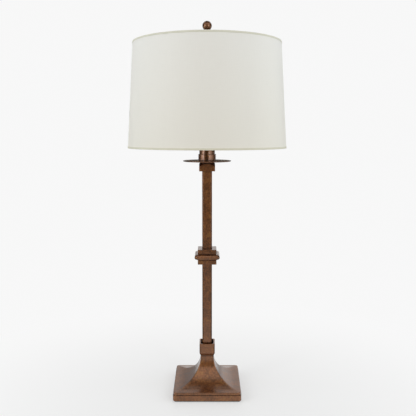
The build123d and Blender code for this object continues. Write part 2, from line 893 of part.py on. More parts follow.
# Tapered panel of the shade
with BuildPart() as shade_panel:
    with BuildSketch(Plane.XZ):
        with BuildLine():
            Polyline(
                (shade_radius(shade_z), shade_z),
                (shade_radius(shade_top_z), shade_top_z),
                (shade_radius(shade_top_z) - shade_thickness, shade_top_z),
                (shade_radius(shade_z) - shade_thickness, shade_z),
                close=True,
            )
        make_face()
    revolve(axis=Axis.Z)
save(shade_panel, "shade_panel")


def edge_trim(edge_z, into_panel):
    """Tape folded over an edge of the panel: into_panel is +1 at the bottom, -1 at the top."""
    inner_z = edge_z + into_panel * trim_width
    outer_z = edge_z - into_panel * trim_thickness
    with BuildPart() as trim:
        with BuildSketch(Plane.XZ):
            with BuildLine():
                Polyline(
                    (shade_radius(inner_z), inner_z),
                    (shade_radius(inner_z) + trim_thickness, inner_z),
                    (shade_radius(edge_z) + trim_thickness, outer_z),
                    (shade_radius(edge_z) - shade_thickness, outer_z),
                    (shade_radius(edge_z) - shade_thickness, edge_z),
                    (shade_radius(edge_z), edge_z),
                    close=True,
                )
            make_face()
        revolve(axis=Axis.Z)
    return trim


shade_top_trim = edge_trim(shade_top_z, -1)
save(shade_top_trim, "shade_top_trim")
shade_bottom_trim = edge_trim(shade_z, 1)
save(shade_bottom_trim, "shade_bottom_trim")


def ring_radius(z):
    """Middle of a wire ring that lies inside the panel."""
    return shade_radius(z) - shade_thickness - ring_fit - ring_wire / 2


# Welded frame that hangs the shade: ring and arms, whose ends meet the washer's rim
top_ring_z = shade_top_z - ring_wire / 2
arm_z = hub_z + hub_thickness / 2
with BuildPart() as shade_top_frame:
    with Locations((0, 0, top_ring_z)):
        Torus(ring_radius(top_ring_z), ring_wire / 2)
    for arm in range(arm_count):
        with BuildLine(upright_plane(arm_first_angle + arm * 360 / arm_count)) as arm_path:
            FilletPolyline(
                (hub_diameter / 2 - arm_weld, arm_z),
                (hub_diameter / 2 + arm_run, arm_z),
                (ring_radius(top_ring_z), top_ring_z),
                radius=arm_bend,
            )
        with BuildSketch(Plane(arm_path.line @ 0, z_dir=arm_path.line % 0)):
            Circle(arm_wire / 2)
        sweep()
    with BuildSketch(Plane.XY.offset(arm_z - arm_wire / 2)):
        Circle(hub_diameter / 2)
    extrude(amount=arm_wire, mode=Mode.SUBTRACT)
save(shade_top_frame, "shade_top_frame")

# Washer in the middle of the arms, which sits on the harp's stud
with BuildPart() as shade_hub:
    with BuildSketch(Plane.XY.offset(hub_z)):
        Circle(hub_diameter / 2)
        Circle(stud_diameter / 2 + hub_clearance, mode=Mode.SUBTRACT)
    extrude(amount=hub_thickness)
save(shade_hub, "shade_hub")

bottom_ring_z = shade_z + ring_wire / 2
with BuildPart() as shade_bottom_ring:
    with Locations((0, 0, bottom_ring_z)):
        Torus(ring_radius(bottom_ring_z + ring_wire / 2), ring_wire / 2)
save(shade_bottom_ring, "shade_bottom_ring")

# Turned finial: foot, tapered neck, collar and ball
finial_z = hub_top_z + finial_gap
finial_neck_z = finial_z + finial_foot_height
finial_collar_z = finial_neck_z + finial_neck_height
finial_ball_z = finial_collar_z + finial_collar_height
ball_radius = finial_ball_diameter / 2
ball_seat_drop = sqrt(ball_radius**2 - (finial_ball_seat / 2) ** 2)
ball_middle_z = finial_ball_z + ball_seat_drop
ball_start = degrees(atan2(-ball_seat_drop, finial_ball_seat / 2))
finial_bore = stud_diameter / 2 + finial_bore_clearance
with BuildPart() as finial:
    with BuildSketch(Plane.XZ):
        with BuildLine():
            Polyline(
                (0, finial_z),
                (finial_foot_diameter / 2, finial_z),
                (finial_foot_diameter / 2, finial_neck_z),
                (finial_neck_base / 2, finial_neck_z),
                (finial_neck_top / 2, finial_collar_z),
                (finial_collar_diameter / 2, finial_collar_z),
                (finial_collar_diameter / 2, finial_ball_z),
                (finial_ball_seat / 2, finial_ball_z),
            )
            CenterArc((0, ball_middle_z), ball_radius, ball_start, 90 - ball_start)
            Line((0, ball_middle_z + ball_radius), (0, finial_z))
        make_face()
    revolve(axis=Axis.Z)
    with BuildSketch(Plane.XY.offset(finial_z)):
        Circle(finial_bore)
    extrude(amount=stud_grip + finial_bore_room, mode=Mode.SUBTRACT)
save(finial, "finial")
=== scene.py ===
import math

import bmesh
import bpy
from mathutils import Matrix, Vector


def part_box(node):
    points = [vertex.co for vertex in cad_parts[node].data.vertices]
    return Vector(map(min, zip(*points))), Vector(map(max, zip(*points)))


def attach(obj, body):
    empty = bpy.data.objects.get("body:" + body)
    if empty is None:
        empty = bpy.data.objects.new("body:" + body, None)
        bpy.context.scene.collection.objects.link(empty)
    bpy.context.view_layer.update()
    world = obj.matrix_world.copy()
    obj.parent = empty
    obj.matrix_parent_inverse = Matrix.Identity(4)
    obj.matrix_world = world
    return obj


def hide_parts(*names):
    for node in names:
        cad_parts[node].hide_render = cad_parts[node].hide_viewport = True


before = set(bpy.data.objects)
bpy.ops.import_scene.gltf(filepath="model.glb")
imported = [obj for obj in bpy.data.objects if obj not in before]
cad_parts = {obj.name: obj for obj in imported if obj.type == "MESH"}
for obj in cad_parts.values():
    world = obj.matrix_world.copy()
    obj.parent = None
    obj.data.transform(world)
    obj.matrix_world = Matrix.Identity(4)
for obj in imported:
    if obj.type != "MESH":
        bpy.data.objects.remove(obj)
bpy.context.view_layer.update()  # the lamp's solids, in metres


# Tools of the bench

bench = {
    "seed": 0.001,     # plane that shrinks to an outline's first point
    "weld": 1e-6,      # vertices nearer than this become one
    "easeAngle": 28,   # degrees from which an edge is eased
    "sharpAngle": 40,  # degrees from which an edge is shaded sharp
    "latheSteps": 96,
}


def startFresh():
    if bpy.context.object and bpy.context.object.mode != "OBJECT":
        bpy.ops.object.mode_set(mode="OBJECT")
    bpy.ops.object.select_all(action="DESELECT")


def openPiece(name):
    # the primitive that was just added becomes a piece, with its place in its mesh
    piece = bpy.context.object
    piece.name = piece.data.name = name
    bpy.ops.object.transform_apply(location=True, rotation=True, scale=True)
    bpy.ops.object.mode_set(mode="EDIT")
    bpy.ops.mesh.select_mode(type="VERT")
    bpy.ops.mesh.select_all(action="SELECT")
    return piece


def closePiece():
    # one skin, facing out
    bpy.ops.mesh.select_all(action="SELECT")
    bpy.ops.mesh.remove_doubles(threshold=bench["weld"])
    bpy.ops.mesh.normals_make_consistent(inside=False)
    bpy.ops.object.mode_set(mode="OBJECT")


def pickEdges(piece, longerThan):
    bpy.ops.mesh.select_mode(type="EDGE")
    bpy.ops.mesh.select_all(action="DESELECT")
    mesh = bmesh.from_edit_mesh(piece.data)
    for edge in mesh.edges:
        if edge.calc_length() > longerThan:
            edge.select_set(True)
    mesh.select_flush_mode()
    bmesh.update_edit_mesh(piece.data)


def turnOnLathe(name, outline, steps=bench["latheSteps"], sweep=math.tau):
    # draws half an outline as radius and height, then spins it round the lamp's axis
    firstR, firstZ = outline[0]
    startFresh()
    bpy.ops.mesh.primitive_plane_add(size=bench["seed"], location=(firstR, 0, firstZ))
    piece = openPiece(name)
    bpy.ops.mesh.merge(type="CENTER")
    for (fromR, fromZ), (toR, toZ) in zip(outline, outline[1:]):
        step = (toR - fromR, 0, toZ - fromZ)
        bpy.ops.mesh.extrude_vertices_move(TRANSFORM_OT_translate={"value": step})
    bpy.ops.mesh.select_all(action="SELECT")
    bpy.ops.mesh.spin(steps=steps, angle=sweep, center=(0, 0, 0), axis=(0, 0, 1))
    closePiece()
    return piece


def raiseSquare(name, rings, corner, cuts, cornerSteps=1):
    # lifts a square through rings of half width and height; the last ring meets the first
    firstHalf, firstZ = rings[0]
    widest = max(half for half, _ in rings)
    startFresh()
    bpy.ops.mesh.primitive_plane_add(size=2 * firstHalf, location=(0, 0, firstZ))
    piece = openPiece(name)
    bpy.ops.mesh.bevel(affect="VERTICES", offset=corner * firstHalf / widest, segments=cornerSteps)
    bpy.ops.mesh.delete(type="ONLY_FACE")
    pickEdges(piece, longerThan=firstHalf)
    bpy.ops.mesh.subdivide(number_cuts=cuts)
    bpy.ops.mesh.select_all(action="SELECT")
    for (fromHalf, fromZ), (toHalf, toZ) in zip(rings, rings[1:] + rings[:1]):
        bpy.ops.mesh.extrude_edges_move(TRANSFORM_OT_translate={"value": (0, 0, toZ - fromZ)})
        grow = toHalf / fromHalf
        bpy.ops.transform.resize(value=(grow, grow, 1), center_override=(0, 0, toZ))
    closePiece()
    return piece


def applyModifier(piece, kind, **settings):
    bpy.context.view_layer.objects.active = piece
    modifier = piece.modifiers.new(kind.lower(), kind)
    for name, value in settings.items():
        setattr(modifier, name, value)
    bpy.ops.object.modifier_apply(modifier=modifier.name)


def cutWith(piece, cutter, operation):
    applyModifier(piece, "BOOLEAN", object=cutter, operation=operation, solver="EXACT")
    bpy.data.objects.remove(cutter)
    piece.select_set(True)


def easeEdges(piece, width, segments=2):
    applyModifier(piece, "BEVEL", width=width, segments=segments, limit_method="ANGLE",
                  angle_limit=math.radians(bench["easeAngle"]), use_clamp_overlap=True)


def handWork(piece, size, depth):
    # shallow dents, as a hammer or a mould leaves them
    dents = bpy.data.textures.new(piece.name + "Dents", "CLOUDS")
    dents.noise_scale = size
    dents.noise_depth = 1
    applyModifier(piece, "DISPLACE", texture=dents, texture_coords="LOCAL", strength=depth, mid_level=0.5)


def finishPiece(piece, body, slot, material, *nodes):
    startFresh()
    piece.select_set(True)
    bpy.context.view_layer.objects.active = piece
    bpy.ops.object.shade_smooth_by_angle(angle=math.radians(bench["sharpAngle"]))
    applyModifier(piece, "WEIGHTED_NORMAL", keep_sharp=True)  # flats stay flat beside eased edges
    piece.data.materials.clear()
    piece.data.materials.append(material)
    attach(piece, body)
    if nodes:
        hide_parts(*nodes)


def dressNodes(material, *nodes):
    for node in nodes:
        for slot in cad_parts[node].material_slots:
            slot.material = material


def levels(node):
    low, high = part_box(node)
    return low.z, high.z


def halfWidth(node):
    low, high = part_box(node)
    return (high.x - low.x) / 2


def arcPoints(centreR, centreZ, radius, fromAngle, toAngle, steps):
    angles = [math.radians(fromAngle + (toAngle - fromAngle) * i / steps) for i in range(steps + 1)]
    return [(centreR + radius * math.cos(a), centreZ + radius * math.sin(a)) for a in angles]


def evenly(fromValue, toValue, steps):
    return [fromValue + (toValue - fromValue) * i / steps for i in range(steps + 1)]


# Tools of the paint shop

def newFinish(name):
    material = bpy.data.materials.new(name)
    material.use_nodes = True
    tree = material.node_tree
    return material, tree, tree.nodes["Principled BSDF"]


def setInputs(node, values):
    for name, value in values.items():
        node.inputs[name].default_value = value


def linkInputs(tree, node, sources):
    for name, source in sources.items():
        tree.links.new(source, node.inputs[name])


def addNode(tree, kind, values=None, **settings):
    node = tree.nodes.new("ShaderNode" + kind)
    for name, value in settings.items():
        setattr(node, name, value)
    setInputs(node, values or {})
    return node


def objectPlace(tree, stretch=(1, 1, 1), shift=(0, 0, 0)):
    coords = addNode(tree, "TexCoord")
    mapping = addNode(tree, "Mapping", {"Scale": stretch, "Location": shift})
    tree.links.new(coords.outputs["Object"], mapping.inputs["Vector"])
    return mapping.outputs["Vector"]


def noiseAt(tree, place, scale, detail=4.0, roughness=0.6, distortion=0.0):
    noise = addNode(tree, "TexNoise", {"Scale": scale, "Detail": detail, "Roughness": roughness,
                                       "Distortion": distortion})
    tree.links.new(place, noise.inputs["Vector"])
    return noise.outputs["Fac"]


def rampOf(tree, source, stops):
    ramp = addNode(tree, "ValToRGB")
    while len(ramp.color_ramp.elements) < len(stops):
        ramp.color_ramp.elements.new(0.5)
    for element, (position, colour) in zip(ramp.color_ramp.elements, stops):
        element.position = position
        element.color = (*colour, 1)
    tree.links.new(source, ramp.inputs["Fac"])
    return ramp.outputs["Color"]


def rangeOf(tree, source, fromLow, fromHigh, toLow, toHigh):
    spread = addNode(tree, "MapRange", {"From Min": fromLow, "From Max": fromHigh, "To Min": toLow,
                                        "To Max": toHigh})
    tree.links.new(source, spread.inputs["Value"])
    return spread.outputs["Result"]


noiseSpan = (0.3, 0.7)  # most of a noise lies between these


def noiseRange(tree, noise, toLow, toHigh):
    return rangeOf(tree, noise, *noiseSpan, toLow, toHigh)


def mixColours(tree, factor, first, second, blend="MIX"):
    # on a colour mix, sockets 0, 6 and 7 take the factor and the two colours
    mix = addNode(tree, "Mix", data_type="RGBA", blend_type=blend)
    for socket, value in ((0, factor), (6, first), (7, second)):
        if isinstance(value, bpy.types.NodeSocket):
            tree.links.new(value, mix.inputs[socket])
        else:
            mix.inputs[socket].default_value = value if socket == 0 else (*value, 1)
    return mix.outputs[2]


def doMath(tree, operation, *values):
    node = addNode(tree, "Math", operation=operation)
    for socket, value in zip(node.inputs, values):
        if isinstance(value, bpy.types.NodeSocket):
            tree.links.new(value, socket)
        else:
            socket.default_value = value
    return node.outputs[0]


def bumpFrom(tree, height, strength, distance):
    bump = addNode(tree, "Bump", {"Strength": strength, "Distance": distance})
    tree.links.new(height, bump.inputs["Height"])
    return bump.outputs["Normal"]


# Finishes

bronze = {
    "tones": [(0.55, (0.136, 0.050, 0.0131)),   # dark
              (0.63, (0.180, 0.069, 0.0200)),   # brown
              (0.70, (0.234, 0.081, 0.0231)),   # red
              (0.77, (0.262, 0.121, 0.0305))],  # ochre
    "shift": (2.59, 0.77, 1.61),  # which blotches fall on which piece
    "blotchScale": 34,
    "blotchShare": 0.45,
    "streakStretch": (1, 1, 0.16),
    "streakScale": 210,
    "streakShare": 0.25,
    "speckScale": 280,
    "speckShare": 0.60,
    "worn": (0.48, 0.29, 0.17),
    "wearReach": 0.0006,
    "wearSpan": (0.995, 0.90),    # cosine of the turn at an edge
    "wearMost": 0.12,
    # painted shade: darker colour laid into corners and crevices
    "paintedShade": (0.20, 0.16, 0.14),
    "paintedShadeReach": 0.008,
    "paintedShadeSpan": (0.25, 0.85),    # openness of a corner
    "mottleSpan": (0.56, 0.75),
    "roughness": (0.36, 0.48),
    "bump": 0.20,
    "bumpDepth": 0.0004,
    "wax": {"Coat Weight": 1.0, "Coat IOR": 1.56, "Coat Roughness": 0.23},
}


def bronzeFinish():
    material, tree, shader = newFinish("agedBronze")
    place = objectPlace(tree)
    blotchPlace = objectPlace(tree, shift=bronze["shift"])
    blotches = noiseAt(tree, blotchPlace, bronze["blotchScale"], detail=5, roughness=0.55, distortion=0.4)
    streaks = noiseAt(tree, objectPlace(tree, stretch=bronze["streakStretch"]), bronze["streakScale"])
    specks = noiseAt(tree, place, bronze["speckScale"])
    mottle = doMath(tree, "MULTIPLY", blotches, bronze["blotchShare"])
    mottle = doMath(tree, "MULTIPLY_ADD", streaks, bronze["streakShare"], mottle)
    mottle = doMath(tree, "MULTIPLY_ADD", specks, bronze["speckShare"], mottle)
    colour = rampOf(tree, mottle, bronze["tones"])

    # rubbed where the rounded normal leaves the face's own
    eased = addNode(tree, "Bevel", {"Radius": bronze["wearReach"]}, samples=6)
    geometry = addNode(tree, "NewGeometry")
    facing = addNode(tree, "VectorMath", operation="DOT_PRODUCT")
    tree.links.new(eased.outputs[0], facing.inputs[0])
    tree.links.new(geometry.outputs["True Normal"], facing.inputs[1])
    rubbed = rangeOf(tree, facing.outputs["Value"], *bronze["wearSpan"], 0.0, bronze["wearMost"])
    colour = mixColours(tree, rubbed, colour, bronze["worn"])

    # painted shade in corners and crevices, taken from occlusion
    cornerOcclusion = addNode(tree, "AmbientOcclusion", {"Distance": bronze["paintedShadeReach"]}, samples=8)
    paintedShade = rangeOf(tree, cornerOcclusion.outputs["AO"], *bronze["paintedShadeSpan"], 1.0, 0.0)
    paintedShadeColour = mixColours(tree, 1.0, colour, bronze["paintedShade"], "MULTIPLY")
    colour = mixColours(tree, paintedShade, colour, paintedShadeColour)

    linkInputs(tree, shader, {
        "Base Color": colour,
        "Roughness": rangeOf(tree, mottle, *bronze["mottleSpan"], *bronze["roughness"]),
        "Normal": bumpFrom(tree, specks, bronze["bump"], bronze["bumpDepth"]),
    })
    setInputs(shader, {"Metallic": 1.0, **bronze["wax"]})
    return material


metals = {  # darker tone, lighter tone, roughness
    "satinBrass": ((0.42, 0.27, 0.09), (0.58, 0.40, 0.16), 0.30),
    "zincSteel": ((0.42, 0.42, 0.43), (0.55, 0.55, 0.56), 0.36),
    "tinPlate": ((0.62, 0.62, 0.62), (0.75, 0.75, 0.74), 0.28),
}

metalGrain = {"stains": 140, "darkAt": 0.35, "lightAt": 0.65, "rougher": 0.10, "smoother": 0.06,
              "marks": 1260, "bump": 0.12, "bumpDepth": 0.0002}


def metalFinish(name):
    # plain metal with faint stains and handling marks
    low, high, rough = metals[name]
    material, tree, shader = newFinish(name)
    place = objectPlace(tree)
    stains = noiseAt(tree, place, metalGrain["stains"], detail=5, distortion=0.3)
    marks = noiseAt(tree, place, metalGrain["marks"], detail=3)
    roughness = (rough + metalGrain["rougher"], rough - metalGrain["smoother"])
    linkInputs(tree, shader, {
        "Base Color": rampOf(tree, stains, [(metalGrain["darkAt"], low), (metalGrain["lightAt"], high)]),
        "Roughness": noiseRange(tree, stains, *roughness),
        "Normal": bumpFrom(tree, marks, metalGrain["bump"], metalGrain["bumpDepth"]),
    })
    setInputs(shader, {"Metallic": 1.0})
    return material


mats = {  # darker tone, lighter tone, roughness, grain, bump, sheen
    "castIron": ((0.045, 0.045, 0.047), (0.085, 0.083, 0.080), 0.62, 220, 0.5, 0.0),
    "blackFelt": ((0.016, 0.016, 0.017), (0.050, 0.049, 0.048), 0.93, 900, 0.9, 0.4),
    "blackMoulding": ((0.016, 0.016, 0.017), (0.028, 0.028, 0.028), 0.42, 500, 0.12, 0.0),
    "pressedBoard": ((0.28, 0.19, 0.10), (0.40, 0.29, 0.17), 0.85, 700, 0.4, 0.0),
    "shadeBacking": ((0.80, 0.79, 0.74), (0.85, 0.84, 0.80), 0.45, 60, 0.05, 0.0),
}

matGrain = {"darkAt": 0.32, "lightAt": 0.68, "uneven": 0.06, "bumpDepth": 0.0004}


def matFinish(name):
    # cast, moulded, pressed or fibrous stuff
    low, high, rough, grain, bump, sheen = mats[name]
    material, tree, shader = newFinish(name)
    fibres = noiseAt(tree, objectPlace(tree), grain, detail=6, roughness=0.7)
    linkInputs(tree, shader, {
        "Base Color": rampOf(tree, fibres, [(matGrain["darkAt"], low), (matGrain["lightAt"], high)]),
        "Roughness": noiseRange(tree, fibres, rough + matGrain["uneven"], rough - matGrain["uneven"]),
        "Normal": bumpFrom(tree, fibres, bump, matGrain["bumpDepth"]),
    })
    setInputs(shader, {"Sheen Weight": sheen})
    return material


cloths = {  # warp, weft, spacing of the threads
    "shadeLinen": ((0.822, 0.803, 0.742), (0.836, 0.818, 0.760), 0.00055),
    "edgeTape": ((0.67, 0.65, 0.53), (0.72, 0.70, 0.585), 0.0008),
}

weave = {
    "paintedLowShade": (0.955, 0.938, 0.896),  # painted warm shade at the lower edge, against the upper
    "radius": 0.172,      # where the weave is laid out
    "slubAlong": 40,      # uneven thickness of the threads
    "slubAcross": 900,
    "slubSpan": (0.7, 1.3),
    "warpAt": 0.2,
    "weftAt": 0.8,
    "crossings": 0.35,    # height against that of the slubs
    "bump": 0.10,
    "bumpDepth": 0.0003,
    "surface": {"Roughness": 0.85, "Specular IOR Level": 0.25,
                "Sheen Weight": 0.15, "Sheen Roughness": 0.5},
}


def roundTheAxis(tree):
    # the place on a drum: distance round it, and height
    coords = addNode(tree, "TexCoord")
    split = addNode(tree, "SeparateXYZ")
    tree.links.new(coords.outputs["Object"], split.inputs[0])
    angle = doMath(tree, "ARCTAN2", split.outputs["Y"], split.outputs["X"])
    return doMath(tree, "MULTIPLY", angle, weave["radius"]), split.outputs["Z"]


def clothFinish(name):
    warp, weft, spacing = cloths[name]
    slubAlong, slubAcross = weave["slubAlong"], weave["slubAcross"]
    material, tree, shader = newFinish(name)
    along, up = roundTheAxis(tree)
    spread = addNode(tree, "CombineXYZ")
    linkInputs(tree, spread, {"X": along, "Y": up})
    waves = []
    slubs = []
    for way, stretch in ((along, (slubAlong, slubAcross, 1)), (up, (slubAcross, slubAlong, 1))):
        waves.append(doMath(tree, "SINE", doMath(tree, "MULTIPLY", way, math.tau / spacing)))
        mapping = addNode(tree, "Mapping", {"Scale": stretch})
        tree.links.new(spread.outputs[0], mapping.inputs["Vector"])
        slubs.append(noiseAt(tree, mapping.outputs["Vector"], 1.0))
    crossings = doMath(tree, "MULTIPLY", *waves)
    slub = doMath(tree, "ADD", *slubs)
    height = doMath(tree, "MULTIPLY_ADD", crossings, weave["crossings"], slub)
    slubShare = rangeOf(tree, slub, *weave["slubSpan"], 0, 1)
    threads = rampOf(tree, slubShare, [(weave["warpAt"], warp), (weave["weftAt"], weft)])
    low, high = levels("shade_panel")
    # painted shade: the cloth turns darker and warmer towards its lower edge
    paintedLowShadeMask = rangeOf(tree, up, low, high, 1, 0)
    paintedLowShade = mixColours(tree, 1.0, threads, weave["paintedLowShade"], "MULTIPLY")
    linkInputs(tree, shader, {
        "Base Color": mixColours(tree, paintedLowShadeMask, threads, paintedLowShade),
        "Normal": bumpFrom(tree, height, weave["bump"], weave["bumpDepth"]),
    })
    setInputs(shader, weave["surface"])
    return material


frosted = {
    "tones": [(0.3, (0.80, 0.80, 0.78)), (0.7, (0.88, 0.88, 0.86))],
    "grain": 260,
    "roughness": (0.32, 0.42),
    "bump": 0.05,
    "bumpDepth": 0.0002,
    "milk": {"Subsurface Weight": 0.35, "Subsurface Scale": 0.01},
}


def glassFinish():
    # white frosted glass
    material, tree, shader = newFinish("frostedGlass")
    frost = noiseAt(tree, objectPlace(tree), frosted["grain"])
    linkInputs(tree, shader, {
        "Base Color": rampOf(tree, frost, frosted["tones"]),
        "Roughness": noiseRange(tree, frost, *frosted["roughness"]),
        "Normal": bumpFrom(tree, frost, frosted["bump"], frosted["bumpDepth"]),
    })
    setInputs(shader, frosted["milk"])
    return material


# Base

base = {
    "fascia": 0.0135,
    "groove": 0.0015,
    "grooveDepth": 0.0008,
    "lip": 0.0040,
    "lipSetback": 0.0012,
    "ledge": 0.0018,   # flat margin outside the roof
    "neckHalf": 0.0155,
    "neck": 0.0045,
    "reveal": 0.0022,  # shadow gap under the collar
    "revealDepth": 0.0014,
    "wall": 0.0050,
    "pipeHalf": 0.0052,
    "innerLedgeHalf": 0.0600,
    "rimThickness": 0.0060,
    "corner": 0.0060,
    "cornerSteps": 4,
    "footRound": 0.0010,
    "cuts": 34,
    "hollowSteps": 26,
    "underSteps": 8,
    "inletMargin": 0.0014,  # the bushing's flange covers it
    "inletCut": 0.0200,
    "inletSides": 48,
    "ease": 0.0006,
    "easeSteps": 3,
    "dentSize": 0.013,
    "dentDepth": 0.00026,
}


def makeBase(material):
    low, high = levels("base_casting")
    half = halfWidth("base_casting")
    grooveZ = low + base["fascia"]
    lipZ = grooveZ + base["groove"]
    rimZ = lipZ + base["lip"]
    roofZ = high - base["neck"]
    lipHalf = half - base["lipSetback"]
    grooveHalf = lipHalf - base["grooveDepth"]
    flareHalf = lipHalf - base["ledge"]
    radius = flareHalf - base["neckHalf"]
    inside = radius + base["wall"]
    ledgeZ = rimZ - base["rimThickness"]
    pocketHalf = half - base["wall"]
    innerStart = -math.degrees(math.asin((flareHalf - base["innerLedgeHalf"]) / inside))
    outer = [(half - base["footRound"], low), (half, low + base["footRound"]),
             (half, low + base["fascia"] / 2), (half, grooveZ), (grooveHalf, grooveZ),
             (grooveHalf, lipZ), (lipHalf, lipZ), (lipHalf, rimZ), (flareHalf, rimZ)]
    hollow = arcPoints(flareHalf, roofZ, radius, 270, 180, base["hollowSteps"])
    revealZ = high - base["reveal"]
    revealHalf = base["neckHalf"] - base["revealDepth"]
    top = [(base["neckHalf"], revealZ), (revealHalf, revealZ), (revealHalf, high),
           (base["pipeHalf"], high), (base["pipeHalf"], roofZ)]
    under = arcPoints(flareHalf, roofZ, inside, 180, 270 + innerStart, base["underSteps"])
    foot = [(base["innerLedgeHalf"], ledgeZ), (pocketHalf, ledgeZ), (pocketHalf, low)]
    rings = outer + hollow + top + under + foot
    casting = raiseSquare("baseCasting", rings, base["corner"], base["cuts"], base["cornerSteps"])
    easeEdges(casting, base["ease"], base["easeSteps"])
    handWork(casting, base["dentSize"], base["dentDepth"])
    inletLow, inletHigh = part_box("cord_bushing")
    inletRadius = (inletHigh.x - inletLow.x) / 2 - base["inletMargin"]
    middle = (inletLow + inletHigh) / 2
    startFresh()
    bpy.ops.mesh.primitive_cylinder_add(vertices=base["inletSides"], radius=inletRadius,
                                        depth=base["inletCut"], location=(0, half, middle.z),
                                        rotation=(math.radians(90), 0, 0))
    cutWith(casting, bpy.context.object, "DIFFERENCE")
    finishPiece(casting, "stand", "patina", material, "base_casting")


felt = {"round": 0.0004, "corner": 0.003, "cornerSteps": 3, "cuts": 24,
        "middlePart": 25}  # its innermost ring is this part of the pad


def makeFelt(material):
    low, high = levels("base_felt")
    half = halfWidth("base_felt")
    middle = half / felt["middlePart"]
    rings = [(half - felt["round"], low), (half, low + felt["round"]), (half, high - felt["round"]),
             (half - felt["round"], high), (half / 2, high), (middle, high), (middle, low),
             (half / 2, low)]
    pad = raiseSquare("feltPad", rings, felt["corner"], felt["cuts"], felt["cornerSteps"])
    finishPiece(pad, "stand", "felt", material, "base_felt")


# Column and what is threaded on it

column = {"arris": 0.0030, "wall": 0.0020, "steps": 26, "cuts": 3, "ease": 0.0002,
          "dentSize": 0.020, "dentDepth": 0.00022}


def makeColumn(name, node, material):
    low, high = levels(node)
    half = halfWidth(node)
    bore = half - column["wall"]
    outer = [(half, z) for z in evenly(low, high, column["steps"])]
    tube = raiseSquare(name, outer + [(bore, high), (bore, low)], column["arris"], column["cuts"])
    easeEdges(tube, column["ease"])
    handWork(tube, column["dentSize"], column["dentDepth"])
    finishPiece(tube, "stand", "patina", material, node)


collar = {"footHalf": 0.0158, "foot": 0.0052, "recessHalf": 0.01465, "recess": 0.0090, "seatHalf": 0.0114,
          "arris": 0.0020, "wallSteps": 6, "cuts": 8, "ease": 0.0006,
          "dentSize": 0.012, "dentDepth": 0.0002}


def makeCollar(material):
    low, high = levels("lower_collar")
    half = halfWidth("lower_collar")
    floor = high - collar["recess"]
    wallLevels = evenly(low + collar["foot"], high, collar["wallSteps"])
    rings = [(collar["footHalf"], low)] + [(half, z) for z in wallLevels]
    rings += [(collar["recessHalf"], high), (collar["recessHalf"], floor), (collar["seatHalf"], floor),
              (collar["seatHalf"], low)]
    cup = raiseSquare("lowerCollar", rings, collar["arris"], collar["cuts"])
    easeEdges(cup, collar["ease"])
    handWork(cup, collar["dentSize"], collar["dentDepth"])
    finishPiece(cup, "stand", "patina", material, "lower_collar")


knop = {"reveal": 0.0016, "revealDepth": 0.0006, "seatHalf": 0.0114, "arris": 0.0016,
        "bandCorner": 0.0040, "pipeHalf": 0.0053, "cuts": 8, "roundSteps": 14, "ease": 0.0005,
        "dentSize": 0.010, "dentDepth": 0.00018}


def makeTier(name, node, material):
    low, high = levels(node)
    half = halfWidth(node)
    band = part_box("knop_band")
    setIn = half - knop["revealDepth"]
    if low < band[0].z:
        edge = high - knop["reveal"]
        rings = [(half, low), (half, (low + edge) / 2), (half, edge), (setIn, edge), (setIn, high)]
    else:
        edge = low + knop["reveal"]
        rings = [(setIn, low), (setIn, edge), (half, edge), (half, (edge + high) / 2), (half, high)]
    rings += [(knop["seatHalf"], high), (knop["seatHalf"], low)]
    tier = raiseSquare(name, rings, knop["arris"], knop["cuts"])
    easeEdges(tier, knop["ease"])
    handWork(tier, knop["dentSize"], knop["dentDepth"])
    finishPiece(tier, "stand", "patina", material, node)


def makeBand(material):
    low, high = levels("knop_band")
    half = halfWidth("knop_band")
    radius = (high - low) / 2
    edge = arcPoints(half - radius, (low + high) / 2, radius, -90, 90, knop["roundSteps"])
    rings = edge + [(knop["pipeHalf"], high), (knop["pipeHalf"], low)]
    band = raiseSquare("knopBand", rings, knop["bandCorner"], knop["cuts"])
    easeEdges(band, knop["ease"] / 2)
    handWork(band, knop["dentSize"], knop["dentDepth"])
    finishPiece(band, "stand", "patina", material, "knop_band")


block = {"arris": 0.0022, "coneMargin": 0.0006, "coneSides": 128, "seatHalf": 0.0114, "wallSteps": 6,
         "cuts": 6, "ease": 0.0005, "dentSize": 0.010, "dentDepth": 0.0002}


def makeBlock(material):
    low, high = levels("upper_collar")
    half = halfWidth("upper_collar")
    rings = [(half, z) for z in evenly(low, high, block["wallSteps"])]
    rings += [(block["seatHalf"], high), (block["seatHalf"], low)]
    body = raiseSquare("columnBlock", rings, block["arris"], block["cuts"])
    startFresh()
    topRadius = half - block["coneMargin"]
    bpy.ops.mesh.primitive_cone_add(vertices=block["coneSides"], radius1=topRadius + high - low,
                                    radius2=topRadius, depth=high - low,
                                    location=(0, 0, (low + high) / 2))
    cutWith(body, bpy.context.object, "INTERSECT")
    easeEdges(body, block["ease"])
    handWork(body, block["dentSize"], block["dentDepth"])
    finishPiece(body, "stand", "patina", material, "upper_collar")


# Turned parts under the shade

turned = {"pipe": 0.0053, "seatSpread": 0.0032, "discRound": 0.0009, "discRoundSteps": 3, "discRings": 10,
          "discSteps": 128, "cupWall": 0.0018, "cupFloor": 0.0020, "cupRows": 10, "sleeveWall": 0.0015,
          "sleeveRows": 12, "ease": 0.0006, "dentSize": 0.009, "dentDepth": 0.00009}


